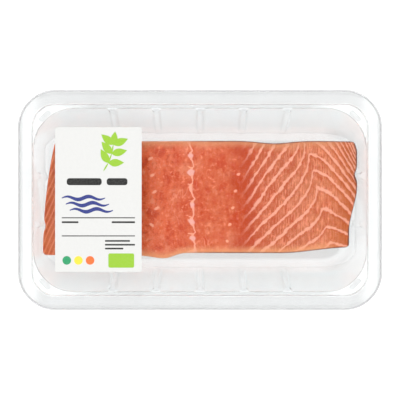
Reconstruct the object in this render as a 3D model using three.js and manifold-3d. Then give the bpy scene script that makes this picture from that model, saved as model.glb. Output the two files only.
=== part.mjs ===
// A raw salmon fillet in its sealed retail pack: a clear formed tray, the fillet, a clear lid film
// and a paper label. Millimetres, +Z up. The origin is under the middle of the tray, on the surface
// that it stands on. +X runs along the tray towards the back of the fish, and +Y towards its head.

import * as THREE from 'three';
import { LoftGeometry } from 'three/addons/geometries/LoftGeometry.js';
import { mergeVertices } from 'three/addons/utils/BufferGeometryUtils.js';
import Module from 'manifold-3d';

const wasm = await Module();
wasm.setup();

const degree = Math.PI / 180;

// Tray: outer size, and the sheet that it is formed from
const trayLength = 220;
const trayWidth = 133;
const trayHeight = 35;
const sheet = 0.8;

// Flange round the top, with a rounded edge that turns down into a lip
const flangeWidth = 9.2;
const trayCorner = 22.9;
const lipDrop = 3.2;
const lipRound = 1.4;

// Collar just under the flange, then a small shelf in each corner, where the main wall starts
const mouthRound = 0.8;
const collarDraft = 0.3;
const shelfDepth = 3.4;
const shelfFall = 0.4;
const wallCorner = 24;

// Main walls: half size at the shelf, lean from upright, and radius at the floor
const endWall = { top: 100.6, lean: 3 * degree, base: 8 };
const sideWall = { top: 55.4, lean: 24 * degree, base: 4 };

// Stiffening ribs that stand into the tray
const rib = { depth: 1.4, foot: 3.25, crown: 1.8, start: 3, full: 8, fade: 29.4 };
const sideRibs = { count: 5, pitch: 26.7 };
const endRibs = { count: 2, pitch: 30 };
const cornerSteps = 8;

// Film and label: thickness, film's edge inside the tray's, label's size and place
const filmThickness = 0.2;
const filmInset = 2;
const label = { width: 52, height: 87, thickness: 0.2, corner: 0.8, x: -61.1, y: 0.3 };

// Fillet: ends against the end walls, cut sides, and thickness
const endReach = 99.1;
const bellySkew = 7.6;
const backSkew = 5.3;
const ribDent = 1.6;
const headSide = 36.8;
const headDip = { depth: 1.6, at: 46, width: 13 };
const tailSide = 33;
const tailSwell = { depth: 1.8, from: -10, over: 12 };
const tailBulge = { depth: 1.6, at: -23, width: 9 };
const tailTaper = { depth: 3.2, from: 50, over: 42 };
const endThickness = 17;
const middleThickness = 24.2;
const humpSkew = 1.94;
const humpPower = 0.7;
const crossCrown = 1;
const cutRound = 2.5;

// Rounded ends of the fillet: the skin side follows the tray's base, the flesh side turns in
const skinTurn = { along: 11, up: 13, steps: 4 };
const fleshTurn = { along: 5, steps: 3 };

// Flakes of the muscle on the back half: lines hang in a chevron from a leaning crest
const crest = { x: 74.1, lean: -0.24, y: 27.9, pitch: 10.97 };
const bellyArm = { drop: 9.36, dropGain: -1.68, fall: 0.856, fallGain: -0.06, bend: 2.86 };
const backArm = { fall: 2.65, fallGain: -0.21, bend: 21.9 };
const flake = { relief: 0.3, from: 26, over: 10 };
const septum = { depth: 0.6, x: -4.5, width: 4 };

// Facets of the fillet
const bellyStep = 6;
const backStep = 3.1;
const crossStep = 3.1;
const underStep = 14;

const clamp01 = (t) => Math.min(Math.max(t, 0), 1);
const smooth = (t) => THREE.MathUtils.smoothstep(t, 0, 1);
const bell = (t) => Math.exp(-t * t);
const mix = THREE.MathUtils.lerp;

// A closed geometry as a solid for cutting, and back
function solidFrom(geometry) {
  const bare = new THREE.BufferGeometry();
  bare.setAttribute('position', geometry.attributes.position).setIndex(geometry.index);
  const merged = mergeVertices(bare, 1e-4);
  const vertProperties = merged.attributes.position.array;
  const triVerts = new Uint32Array(merged.index.array);
  return new wasm.Manifold(new wasm.Mesh({ numProp: 3, vertProperties, triVerts }));
}

function geometryFrom(solid) {
  const { numProp, vertProperties, triVerts } = solid.getMesh();
  const position = new THREE.BufferAttribute(vertProperties, numProp);
  const geometry = new THREE.BufferGeometry().setAttribute('position', position);
  geometry.setIndex(new THREE.BufferAttribute(triVerts, 1));
  geometry.computeVertexNormals();
  return geometry;
}

// Points along a straight wall: each rib gives two at its feet and two at its crown
function ribStations({ count, pitch }) {
  const stations = [];
  for (let i = 0; i < count; i++) {
    const middle = (i - (count - 1) / 2) * pitch;
    stations.push({ along: middle - rib.foot, crown: 0 });
    stations.push({ along: middle - rib.crown, crown: 1 });
    stations.push({ along: middle + rib.crown, crown: 1 });
    stations.push({ along: middle + rib.foot, crown: 0 });
  }
  return stations;
}

const sideStations = ribStations(sideRibs);
const endStations = ribStations(endRibs);

// One level ring of the tray, counterclockwise from above. Its corners are quarter ellipses round
// a corner centre, and ribs push the straight walls inwards by ribDepth.
function levelRing({ x, y, z, centre, ribDepth = 0 }) {
  const points = [];
  for (let quarter = 0; quarter < 4; quarter++) {
    const from = quarter * 90 * degree;
    const middle = from + 45 * degree;
    const centreX = Math.sign(Math.cos(middle)) * centre.x;
    const centreY = Math.sign(Math.sin(middle)) * centre.y;
    for (let i = 0; i <= cornerSteps; i++) {
      const angle = from + (i / cornerSteps) * 90 * degree;
      const cornerX = centreX + (x - centre.x) * Math.cos(angle);
      const cornerY = centreY + (y - centre.y) * Math.sin(angle);
      points.push(new THREE.Vector3(cornerX, cornerY, z));
    }
    const onSide = quarter % 2 === 0;
    const out = new THREE.Vector3(0, 0, 1);
    out.set(Math.round(Math.cos(from + 90 * degree)), Math.round(Math.sin(from + 90 * degree)), 0);
    const along = new THREE.Vector3(-out.y, out.x, 0);
    for (const station of onSide ? sideStations : endStations) {
      const reach = (onSide ? y : x) - station.crown * ribDepth;
      const point = new THREE.Vector3(0, 0, z);
      point.addScaledVector(out, reach).addScaledVector(along, station.along);
      points.push(point);
    }
  }
  return points;
}

const flangeCentre = { x: trayLength / 2 - trayCorner, y: trayWidth / 2 - trayCorner };
const wallCentre = { x: endWall.top - wallCorner, y: sideWall.top - wallCorner };
const mouth = { x: trayLength / 2 - flangeWidth, y: trayWidth / 2 - flangeWidth };
const shelfHeight = trayHeight - shelfDepth;

// How far a main wall stands from the tray's middle at a height: a leaning line on a base arc.
// outside is how far outside the inner face, so 0 is the inner face and the sheet the outer one.
function wallReach(z, wall, outside) {
  const fall = Math.tan(wall.lean);
  const radius = wall.base + outside;
  const floorHeight = sheet - outside;
  const arcTop = floorHeight + radius * (1 - Math.sin(wall.lean));
  const line = (height) => wall.top - (shelfHeight - height) * fall + outside / Math.cos(wall.lean);
  if (z >= arcTop) return line(z);
  const centre = line(arcTop) - radius * Math.cos(wall.lean);
  const below = radius - (z - floorHeight);
  return centre + Math.sqrt(Math.max(radius * radius - below * below, 0));
}

function wallLevel(z, outside) {
  const rise = smooth((z - rib.start) / (rib.full - rib.start));
  const fade = 1 - smooth((z - rib.fade) / (shelfHeight - shelfFall - rib.fade));
  return levelRing({
    x: wallReach(z, endWall, outside),
    y: wallReach(z, sideWall, outside),
    z,
    centre: wallCentre,
    ribDepth: rib.depth * rise * fade,
  });
}

// A level of the flange, its lip or the collar, given by how far it stands outside the mouth
function flangeLevel(outside, z) {
  return levelRing({ x: mouth.x + outside, y: mouth.y + outside, z, centre: flangeCentre });
}

// Heights of the levels up a main wall, closest together on the base arc
const wallHeights = [0, 0.4, 1.6, 3.4, 5.8, 9, 18, rib.fade - 0.4];

function trayOutside() {
  const under = trayHeight - sheet;
  const lipFoot = trayHeight - lipDrop;
  const shelfFoot = shelfHeight + shelfFall - sheet;
  const sections = wallHeights.map((z) => wallLevel(z, sheet));
  sections.push(wallLevel(shelfHeight - sheet, sheet));
  sections.push(flangeLevel(sheet - collarDraft, shelfFoot));
  sections.push(flangeLevel(sheet, under));
  sections.push(flangeLevel(flangeWidth - lipRound, under));
  sections.push(flangeLevel(flangeWidth - sheet, under - lipRound + sheet));
  sections.push(flangeLevel(flangeWidth - sheet, lipFoot));
  sections.push(flangeLevel(flangeWidth, lipFoot));
  sections.push(flangeLevel(flangeWidth, trayHeight - lipRound));
  sections.push(flangeLevel(flangeWidth - 0.3 * lipRound, trayHeight - 0.3 * lipRound));
  sections.push(flangeLevel(flangeWidth - lipRound, trayHeight));
  return solidFrom(new LoftGeometry(sections, { capStart: true, capEnd: true }));
}

function trayInside() {
  const rim = trayHeight - mouthRound;
  const sections = wallHeights.map((z) => wallLevel(sheet + z * 0.98, 0));
  sections.push(wallLevel(shelfHeight, 0));
  sections.push(flangeLevel(-collarDraft, shelfHeight + shelfFall));
  sections.push(flangeLevel(0, rim));
  sections.push(flangeLevel(mouthRound, trayHeight));
  sections.push(flangeLevel(2 * mouthRound, trayHeight + mouthRound));
  return solidFrom(new LoftGeometry(sections, { capStart: true, capEnd: true }));
}

function makeTray() {
  return geometryFrom(trayOutside().subtract(trayInside()));
}

// A rectangle with rounded corners round the origin
function roundedSheet(width, height, corner) {
  const shape = new THREE.Shape();
  const x = width / 2 - corner;
  const y = height / 2 - corner;
  shape.absarc(x, y, corner, 0, 90 * degree, false);
  shape.absarc(-x, y, corner, 90 * degree, 180 * degree, false);
  shape.absarc(-x, -y, corner, 180 * degree, 270 * degree, false);
  shape.absarc(x, -y, corner, 270 * degree, 360 * degree, false);
  shape.closePath();
  return shape;
}

function makeFilm() {
  const width = trayLength - 2 * filmInset;
  const height = trayWidth - 2 * filmInset;
  const shape = roundedSheet(width, height, trayCorner - filmInset);
  const options = { depth: filmThickness, bevelEnabled: false, curveSegments: cornerSteps / 2 };
  return new THREE.ExtrudeGeometry(shape, options);
}

function makeLabel() {
  const shape = roundedSheet(label.width, label.height, label.corner);
  const options = { depth: label.thickness, bevelEnabled: false, curveSegments: 2 };
  return new THREE.ExtrudeGeometry(shape, options);
}

// Ends of the fillet. Both press on the tray's end walls on one side and draw back on the other.
function bellyEnd(y) {
  const back = ((y + tailSide) / (tailSide + headSide)) ** 2;
  return -endReach + bellySkew * back + ribDentAt(y) * (1 - clamp01(back * 4));
}

function backEnd(y) {
  const back = smooth((8 - y) / 30);
  return endReach - backSkew * back - ribDentAt(y) * (1 - clamp01(back * 4));
}

// The tray's end ribs press a dent into the soft ends
function ribDentAt(y) {
  return ribDent * bell((Math.abs(y) - endRibs.pitch / 2) / rib.foot);
}

// Cut sides of the fillet, towards the head and the tail of the fish
function headCut(x) {
  return headSide - headDip.depth * bell((x - headDip.at) / headDip.width);
}

function tailCut(x) {
  const swell = tailSwell.depth * smooth((tailSwell.from - x) / tailSwell.over);
  const bulge = tailBulge.depth * bell((x - tailBulge.at) / tailBulge.width);
  const taper = tailTaper.depth * smooth((x - tailTaper.from) / tailTaper.over);
  return -(tailSide + swell + bulge - taper);
}

// Which flake a point lies in: whole numbers fall on the pale lines between two flakes
function flakeNumber(x, y) {
  const offset = x - (crest.x + crest.lean * y);
  if (offset < 0) {
    const turn = 1 - Math.exp(offset / bellyArm.bend);
    const fall = bellyArm.drop * turn - bellyArm.fall * offset;
    const gain = bellyArm.dropGain * turn - bellyArm.fallGain * offset;
    return (crest.y - y - fall) / (crest.pitch + gain);
  }
  const turn = Math.hypot(offset, backArm.bend) - backArm.bend;
  return (crest.y - y - backArm.fall * turn) / (crest.pitch + backArm.fallGain * turn);
}

// Height of the flesh above the floor of the tray
function fleshHeight(x, y) {
  const along = clamp01((x + endReach) / (2 * endReach));
  const hump = Math.sin(Math.PI * along ** humpSkew) ** humpPower;
  const crown = crossCrown * (y / headSide) ** 2;
  const groove = septum.depth * bell((x - septum.x) / septum.width);
  const flakes = flake.relief * smooth((x - flake.from) / flake.over);
  const wave = flakes * Math.cos(2 * Math.PI * flakeNumber(x, y));
  return mix(endThickness, middleThickness, hump) - crown - groove - wave;
}

// Distances from left to right over the flesh, closer together where the flakes show
function fleshStations(left, right) {
  const turn = Math.round((flake.from - left) / bellyStep);
  const rest = Math.round((right - flake.from) / backStep);
  const stations = [];
  for (let i = 1; i < turn; i++) stations.push(mix(left, flake.from, i / turn));
  for (let i = 0; i < rest; i++) stations.push(mix(flake.from, right, i / rest));
  return stations;
}

const stationShares = fleshStations(-endReach, endReach).map((x) => (x + endReach) / (2 * endReach));

// One slice of the fillet across the tray's width, at a share of the way from tail to head side.
// inset is how far the rounding at a cut face draws the slice in.
function filletSlice(share, inset) {
  const level = mix(-tailSide, headSide, share);
  const left = bellyEnd(level) + inset;
  const right = backEnd(level) - inset;
  const points = [];
  const place = (x, height) => {
    const y = mix(tailCut(x), headCut(x), share);
    points.push(new THREE.Vector3(x, y, sheet + height));
  };
  const turnedEnd = (end, inwards) => {
    const turned = [];
    for (let i = 0; i < skinTurn.steps; i++) {
      const angle = (i / skinTurn.steps) * 90 * degree;
      const x = end + inwards * skinTurn.along * (1 - Math.sin(angle));
      turned.push([x, skinTurn.up * (1 - Math.cos(angle))]);
    }
    const inner = end + inwards * fleshTurn.along;
    const top = fleshHeight(inner, level) - inset;
    for (let i = 0; i <= fleshTurn.steps; i++) {
      const angle = (i / fleshTurn.steps) * 90 * degree;
      const x = end + inwards * fleshTurn.along * (1 - Math.cos(angle));
      turned.push([x, mix(skinTurn.up, top, Math.sin(angle))]);
    }
    return turned;
  };
  for (const [x, height] of turnedEnd(left, 1)) place(x, height);
  for (const along of stationShares) {
    const x = mix(left + fleshTurn.along, right - fleshTurn.along, along);
    place(x, fleshHeight(x, level) - inset);
  }
  for (const [x, height] of turnedEnd(right, -1).reverse()) place(x, height);
  const underSteps = Math.round((2 * endReach) / underStep);
  for (let i = 1; i < underSteps; i++) {
    place(mix(right - skinTurn.along, left + skinTurn.along, i / underSteps), 0);
  }
  return points;
}

function makeFillet() {
  const width = tailSide + headSide;
  const steps = Math.round((width - 2 * cutRound) / crossStep);
  const rounding = [0, 0.12, 0.42];
  const sections = [];
  const edge = (turn) => cutRound * (1 - Math.sqrt(1 - (1 - turn) ** 2));
  for (const turn of rounding) {
    sections.push(filletSlice((turn * cutRound) / width, edge(turn)));
  }
  for (let i = 0; i <= steps; i++) {
    sections.push(filletSlice(mix(cutRound, width - cutRound, i / steps) / width, 0));
  }
  for (const turn of rounding.toReversed()) {
    sections.push(filletSlice(1 - (turn * cutRound) / width, edge(turn)));
  }
  return geometryFrom(solidFrom(new LoftGeometry(sections, { capStart: true, capEnd: true })));
}

function part(name, geometry, material) {
  const mesh = new THREE.Mesh(geometry, new THREE.MeshStandardMaterial(material));
  mesh.name = name;
  return mesh;
}

const clearPlastic = { color: 0xeef0f0, roughness: 0.12, metalness: 0, transparent: true };

const tray = part('tray', makeTray(), { ...clearPlastic, opacity: 0.3 });
const fillet = part('fillet', makeFillet(), { color: 0xdc7254, roughness: 0.4, metalness: 0 });
const film = part('film', makeFilm(), { ...clearPlastic, opacity: 0.08 });
film.position.z = trayHeight;
const labelCard = part('label', makeLabel(), { color: 0xf8f8f6, roughness: 0.6, metalness: 0 });
labelCard.position.set(label.x, label.y, trayHeight + filmThickness);

const pack = new THREE.Group();
pack.add(tray, fillet, film, labelCard);

export default pack;
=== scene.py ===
# %% [markdown]
# # A packed salmon fillet
#
# This lesson dresses a fixed model of a sealed pack: a clear formed tray, one raw salmon fillet lying
# skin side down in it, a clear lid film, and a printed label on the film. The model is loaded as a frame
# of plain solids. Each piece made here stands for one of them, at the same size and in the same place,
# with the fine forms and finishes that a plain solid lacks.

# %% Load the frame
import math
from functools import partialmethod

import bmesh
import bpy
from mathutils import Matrix, Vector, noise


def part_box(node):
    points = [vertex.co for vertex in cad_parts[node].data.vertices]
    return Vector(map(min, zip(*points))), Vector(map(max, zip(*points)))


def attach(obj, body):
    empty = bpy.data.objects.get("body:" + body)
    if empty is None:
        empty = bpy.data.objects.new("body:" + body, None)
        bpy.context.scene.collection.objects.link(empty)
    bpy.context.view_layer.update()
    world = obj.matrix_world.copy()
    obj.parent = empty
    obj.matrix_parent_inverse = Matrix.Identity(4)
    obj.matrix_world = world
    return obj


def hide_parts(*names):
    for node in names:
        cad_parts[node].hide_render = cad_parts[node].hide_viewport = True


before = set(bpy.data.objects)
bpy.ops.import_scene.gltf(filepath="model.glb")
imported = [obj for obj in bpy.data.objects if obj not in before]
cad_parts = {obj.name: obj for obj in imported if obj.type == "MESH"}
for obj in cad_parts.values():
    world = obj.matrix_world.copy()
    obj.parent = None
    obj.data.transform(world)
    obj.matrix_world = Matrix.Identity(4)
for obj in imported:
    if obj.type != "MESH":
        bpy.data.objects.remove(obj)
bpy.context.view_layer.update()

MM = 0.001
print("nodes:", sorted(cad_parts))

# %% [markdown]
# ## Helpers for shapes
#
# Shapes are worked out in millimetres, as a packer or a fishmonger would measure them, and turned into metres
# when a mesh is finished. A finished mesh carries its place in its own points, so its object stays at the
# origin, and textures on object coordinates line up with the part's own frame.

# %% Helpers for shapes
def clamp(value, low=0.0, high=1.0):
    return min(max(value, low), high)


def mix(start, end, share):
    return start + (end - start) * share


def smooth(share):
    share = clamp(share)
    return share * share * (3 - 2 * share)


def ease(value, start, end):
    """0 where the value is at start, 1 where it is at end, and a soft rise between."""
    return smooth((value - start) / (end - start))


def bell(value):
    return math.exp(-value * value)


def hill(value, height, middle, width):
    return height * bell((value - middle) / width)


def box_of(node):
    """A plain solid's lowest and highest corners in millimetres."""
    return [[side / MM for side in corner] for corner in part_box(node)]


def edges_along(shape, axis, least):
    """The edges that reach further than a least length along an axis."""
    return [e for e in shape.edges if abs(e.verts[0].co[axis] - e.verts[1].co[axis]) > least]


def make_object(name, shape, material):
    mesh = bpy.data.meshes.new(name)
    shape.to_mesh(mesh)
    shape.free()
    mesh.materials.append(material)
    piece = bpy.data.objects.new(name, mesh)
    bpy.context.collection.objects.link(piece)
    return piece


def finish_piece(name, shape, material, node=None, shade=True):
    """Turns a bmesh in millimetres into an object that rides with the pack."""
    bmesh.ops.scale(shape, vec=(MM, MM, MM), verts=shape.verts)
    piece = make_object(name, shape, material)
    if shade:
        piece.data.shade_smooth()
    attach(piece, "root")
    if node:
        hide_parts(node)
    print(name, len(piece.data.vertices), "points", len(piece.data.polygons), "faces")


# %% [markdown]
# ## Helpers for materials
#
# A finish is a small tree of nodes under one shader. `add` puts a node in and `feed` joins it up. What varies
# over a surface is a `Number`, so a finish is written like a formula: each sign in it puts in one node.
# Colours are given as they look on a screen, from 0 to 255, and `paint` turns them into linear light.

# %% Helpers for materials
def paint(red, green, blue):
    def linear(value):
        share = value / 255
        if share <= 0.04045:
            return share / 12.92
        return ((share + 0.055) / 1.055) ** 2.4
    return (linear(red), linear(green), linear(blue), 1.0)


def feed(tree, node, **inputs):
    """Gives a node its inputs by name, or by number after an i."""
    for name, value in inputs.items():
        key = int(name[1:]) if name[0] == "i" and name[1:].isdigit() else name.replace("_", " ")
        value = value.socket if isinstance(value, Number) else value
        if isinstance(value, bpy.types.NodeSocket):
            tree.links.new(value, node.inputs[key])
        else:
            node.inputs[key].default_value = value
    return node


def add(tree, kind, settings=None, **inputs):
    node = tree.nodes.new("ShaderNode" + kind)
    for name, value in (settings or {}).items():
        setattr(node, name, value)
    return feed(tree, node, **inputs)


class Number:
    """A number that varies over the surface: what one socket of a node gives out."""

    def __init__(self, tree, socket):
        self.tree = tree
        self.socket = socket

    def calc(self, operation, other=0.0):
        return measure(self.tree, "Math", {"operation": operation}, i0=self, i1=other)

    __add__ = partialmethod(calc, "ADD")
    __sub__ = partialmethod(calc, "SUBTRACT")
    __mul__ = partialmethod(calc, "MULTIPLY")
    __truediv__ = partialmethod(calc, "DIVIDE")
    __abs__ = partialmethod(calc, "ABSOLUTE")
    __round__ = partialmethod(calc, "ROUND")

    def ramp(self, low, high, to_low=0.0, to_high=1.0):
        """A soft step: to_low where the number is at low, to_high where it is at high."""
        settings = {"interpolation_type": "SMOOTHSTEP"}
        inputs = {"From_Min": low, "From_Max": high, "To_Min": to_low, "To_Max": to_high}
        return measure(self.tree, "MapRange", settings, Value=self, **inputs)


def measure(tree, kind, settings=None, output=0, **inputs):
    """Puts in a node and gives back one of its outputs as a number."""
    return Number(tree, add(tree, kind, settings, **inputs).outputs[output])


def blend(share, first, second):
    """Goes from one colour to another as the share goes from 0 to 1."""
    settings = {"data_type": "RGBA", "clamp_factor": True}
    return add(share.tree, "Mix", settings, i0=share, i6=first, i7=second).outputs[2]


def cover(share, strength, under, over):
    """Paints one colour over another by a share from 0 to 1, at most as strongly as told."""
    return blend(share * strength, under, over)


def attribute(tree, name):
    settings = {"attribute_type": "GEOMETRY", "attribute_name": name}
    return measure(tree, "Attribute", settings, "Fac")


def place(tree, scale=(1, 1, 1), turn=0.0):
    """Object coordinates, stretched and turned for streaks and fibres."""
    coordinates = add(tree, "TexCoord").outputs["Object"]
    return add(tree, "Mapping", Vector=coordinates, Scale=scale, Rotation=(0, 0, turn)).outputs[0]


def grain(tree, scale, detail=3.0, roughness=0.55, stretch=(1, 1, 1), turn=0.0):
    spot = place(tree, stretch, turn)
    return measure(tree, "TexNoise", Vector=spot, Scale=scale, Detail=detail, Roughness=roughness)


def swing(tree, reach, scale, **options):
    """A soft noise that swings about zero, to bend borders and lines with."""
    return (grain(tree, scale, **options) - 0.5) * reach


def axis_of(tree, axis):
    coordinates = add(tree, "TexCoord").outputs["Object"]
    return measure(tree, "SeparateXYZ", output=axis, Vector=coordinates)


def new_material(name):
    material = bpy.data.materials.new(name)
    material.use_nodes = True
    tree = material.node_tree
    return material, tree, tree.nodes["Principled BSDF"]


def bump(tree, shader, height, strength, distance):
    node = add(tree, "Bump", Height=height, Strength=strength, Distance=distance)
    feed(tree, shader, Normal=node.outputs[0])


# %% [markdown]
# ## The camera
#
# The photograph looks straight down on the pack from above its middle. The tray's ribs lean outwards in it,
# because their feet are further away than their tops, and that tells how near the camera is: about 43 cm over
# the rim. The picture is square and takes in 241 mm at the height of the rim.

# %% The camera
RIM_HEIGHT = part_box("tray")[1][2]
CAMERA_OVER_RIM = 0.43
PICTURE_WIDTH = 0.2407

camera_data = bpy.data.cameras.new("camera")
camera_data.sensor_fit = "HORIZONTAL"
camera_data.angle = 2 * math.atan(PICTURE_WIDTH / 2 / CAMERA_OVER_RIM)
camera = bpy.data.objects.new("camera", camera_data)
bpy.context.collection.objects.link(camera)
camera.location = (0, 0, RIM_HEIGHT + CAMERA_OVER_RIM)
bpy.context.scene.camera = camera
print("camera angle", round(math.degrees(camera_data.angle), 1))

# %% [markdown]
# ## The studio
#
# The pack was shot on white under wide soft light, and its clear walls look bright, because light comes up
# through them. So the floor is a light table: a pale grey sheet that glows. The sky over it is white, with a
# large soft panel overhead that lights the gaps beside the fish. The panel has a dim window in its middle,
# where a camera would be: the lid film mirrors it, so the fish keeps its deep colour. The sky is dimmer near
# the horizon, because the film would veil the fish in low views. A sky makes less noise behind clear plastic
# than lamps do.

# %% The studio
WHITE = paint(255, 255, 255)
PANEL_EDGE = (0.82, 0.94)
HORIZON_FADE = (0.5, 0.1)
WINDOW_ACROSS = (0.25, 0.21)
WINDOW_ALONG = (0.17, 0.13)
FLOOR_SIZE = 1.5
FLOOR_DROP = 0.0003


def make_sky(panel, around, horizon, window):
    """A white sky, from the brightness of its panel, sides, horizon and window."""
    world = bpy.data.worlds.new("studio")
    bpy.context.scene.world = world
    world.use_nodes = True
    tree = world.node_tree
    direction = add(tree, "TexCoord").outputs["Generated"]
    x, y, z = (measure(tree, "SeparateXYZ", output=axis, Vector=direction) for axis in "XYZ")
    tone = z.ramp(*PANEL_EDGE, around, panel) + z.ramp(*HORIZON_FADE, 0.0, horizon - around)
    dimmed = abs(x).ramp(*WINDOW_ACROSS) * abs(y).ramp(*WINDOW_ALONG) * z.ramp(0.0, 0.5)
    feed(tree, tree.nodes["Background"], Color=WHITE, Strength=tone + dimmed * (window - panel))


def make_floor(glow):
    """A plain sheet that glows, a hair under the tray."""
    shape = bmesh.new()
    bmesh.ops.create_grid(shape, x_segments=1, y_segments=1, size=FLOOR_SIZE)
    material, tree, shader = new_material("white floor")
    feed(tree, shader, Base_Color=paint(146, 146, 146), Roughness=0.9, Specular_IOR_Level=0.1)
    feed(tree, shader, Emission_Color=WHITE, Emission_Strength=glow)
    floor = make_object("floor", shape, material)
    floor.location.z = -FLOOR_DROP


make_sky(panel=2.8, around=1.42, horizon=0.85, window=0.52)
make_floor(glow=0.87)
scene = bpy.context.scene
scene.cycles.max_bounces = 24
scene.cycles.transmission_bounces = 24
scene.cycles.glossy_bounces = 12
scene.view_settings.view_transform = "Standard"
scene.view_settings.look = "None"
print("bounces of light:", scene.cycles.max_bounces)

# %% [markdown]
# ## The fillet's form
#
# The fillet is a slab cut across one side of the fish. Its two long sides are knife cuts. The back of the
# fish is at the right, the belly at the left, and two ribs of each end wall dent its ends. The curves of
# the plain solid give the ends, the cuts and the height, so the fine mesh lies in the solid's place.

# %% The fillet's form
FLOOR_HEIGHT = 0.8
END_REACH = 99.1
BELLY_SKEW = 7.6
BACK_SKEW = 5.3
BACK_CORNER = 1.3
RIB_DENT = 1.6
RIB_FOOT = 3.25
END_RIB = 15.0
HEAD_SIDE = 36.8
HEAD_WAIST = 1.6
TAIL_SIDE = 33.0
TAIL_SWELL = 1.8
TAIL_BULGE = 1.6
TAIL_TAPER = 3.2
END_THICKNESS = 17.0
MIDDLE_THICKNESS = 24.2
HUMP_SKEW = 1.94
HUMP_POWER = 0.7
CROSS_CROWN = 1.0


def rib_dent(y):
    return hill(abs(y), RIB_DENT, END_RIB, RIB_FOOT)


def belly_end(y):
    back = ((y + TAIL_SIDE) / (TAIL_SIDE + HEAD_SIDE)) ** 2
    return -END_REACH + BELLY_SKEW * back + rib_dent(y) * (1 - clamp(back * 4))


def back_end(y):
    back = ease(y, 8, -22)
    corner = BACK_CORNER * ease(y, 30, 36)
    return END_REACH - BACK_SKEW * back - corner - rib_dent(y) * (1 - clamp(back * 4))


def head_cut(x):
    return HEAD_SIDE - hill(x, HEAD_WAIST, 46, 13)


def tail_cut(x):
    swell = TAIL_SWELL * ease(x, -10, -22)
    bulge = hill(x, TAIL_BULGE, -23, 9)
    taper = TAIL_TAPER * ease(x, 50, 92)
    return -(TAIL_SIDE + swell + bulge - taper)


def flesh_height(x, y):
    along = clamp((x + END_REACH) / (2 * END_REACH))
    hump = max(math.sin(math.pi * along ** HUMP_SKEW), 0.0) ** HUMP_POWER
    crown = CROSS_CROWN * (y / HEAD_SIDE) ** 2
    return mix(END_THICKNESS, MIDDLE_THICKNESS, hump) - crown


print("height at the middle", round(flesh_height(0, 0), 1), "mm")

# %% [markdown]
# ## The flakes
#
# Salmon muscle is a stack of cones of flesh with a pale sheet of fat and gristle between each two. A cut
# along the fish shows the sheets as chevrons, which hang from a crest that leans towards the back, one every
# 11 mm. The belly arms drop steeply and then run off at about 45 degrees, and the back arms bend down towards
# the skin. A formula numbers the flakes: it gives a whole number wherever a point lies on a pale line, so one
# smooth field holds the whole pattern, and a texture can draw lines of any width.

# %% The flakes
CREST_X = 74.1
CREST_LEAN = -0.24
CREST_Y = 27.9
CREST_PITCH = 10.97
BELLY_BEND = 2.86
BELLY_DROP = 9.36
BELLY_SLOPE = 0.856
BELLY_NARROWING = 1.68
BELLY_WIDENING = 0.06
BACK_BEND = 21.9
BACK_SLOPE = 2.65
BACK_NARROWING = (0.21, 0.006)


def crest_offset(x, y):
    return x - (CREST_X + CREST_LEAN * y)


def flake_number(x, y):
    offset = crest_offset(x, y)
    if offset < 0:
        turn = 1 - math.exp(offset / BELLY_BEND)
        fall = BELLY_DROP * turn - BELLY_SLOPE * offset
        gain = BELLY_WIDENING * offset - BELLY_NARROWING * turn
        return (CREST_Y - y - fall) / (CREST_PITCH + gain)
    turn = math.hypot(offset, BACK_BEND) - BACK_BEND
    loss = BACK_NARROWING[0] * turn + BACK_NARROWING[1] * turn * turn
    return (CREST_Y - y - BACK_SLOPE * turn) / (CREST_PITCH - loss)


def flake_spacing(x, y, step=0.25):
    """Millimetres from one pale line to the next, measured straight across them."""
    across = (flake_number(x + step, y) - flake_number(x - step, y)) / (2 * step)
    down = (flake_number(x, y + step) - flake_number(x, y - step)) / (2 * step)
    return 1 / max(math.hypot(across, down), 0.05)


print("spacing on the belly arms", round(flake_spacing(45, 0), 1), "mm")

# %% [markdown]
# ## The midline and the pin bones
#
# A pale seam runs along the fish's midline, where the upper and lower muscles meet. It steps sideways once a
# flake, so it looks like a chain of leaning drops. On each side of it lies a row of small pale flecks, the
# cut ends of pin bones. Both are measured as distances here and drawn by the material.

# %% The midline and the pin bones
SEAM_TOP = 29.0
SEAM_PITCH = 10.2
SEAM_LEFT = -5.6
SEAM_STEP = 1.8
SEAM_DRIFT = 0.03
SEAM_WANDER = 1.5
SEAM_FOOT = 3.0
DROP_PLACE = 0.16
DROP_LENGTH = 0.17
FLECK_PITCH = 10.3


def seam_step(y):
    """Which step of the seam a point lies in, and how far down that step."""
    return divmod((SEAM_TOP - y) / SEAM_PITCH, 1.0)


def seam_x(y):
    share = seam_step(y)[1]
    rise = ease(share, 0.1, 0.75)
    fall = ease(share, 0.8, 1.0)
    wander = SEAM_WANDER * noise.noise(Vector((3.1, y * 0.13, 0.0)))
    return SEAM_LEFT - SEAM_DRIFT * y + SEAM_STEP * (rise - fall) + wander


def drop_size(row):
    """Each drop of the seam is a little larger or smaller than the next."""
    return clamp(1.4 + 1.6 * noise.noise(Vector((row * 1.7, 5.3, 0.9))), 0.5, 2.1)


def seam_width(y):
    """Half the seam's width: a round drop early in each step, thin below it, and a wide foot."""
    row, share = seam_step(y)
    drop = hill(share, drop_size(row), DROP_PLACE, DROP_LENGTH)
    drop += hill(share, drop_size(row + 1), 1 + DROP_PLACE, DROP_LENGTH)
    uneven = 1.0 + 0.7 * noise.noise(Vector((9.3, y * 0.35, 0.0)))
    foot = SEAM_FOOT * ease(y, -29.5, -33)
    return 0.5 * uneven + drop + foot


def fleck_rows():
    """Place, lean and half length of each fleck: the belly side's are longer."""
    flecks = []
    for row in range(5):
        slip = 1.3 * row if row < 4 else 0.9
        lean = 0.5 if row < 4 else -0.6
        flecks.append((-30.8 + slip, 25.7 - FLECK_PITCH * row, lean, 1.9))
    for row in range(5):
        slip = 1.75 * row
        lean = 0.4 if row < 4 else -1.0
        flecks.append((23.7 - slip, 15.8 - FLECK_PITCH * row, lean, 1.3))
    return flecks


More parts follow.
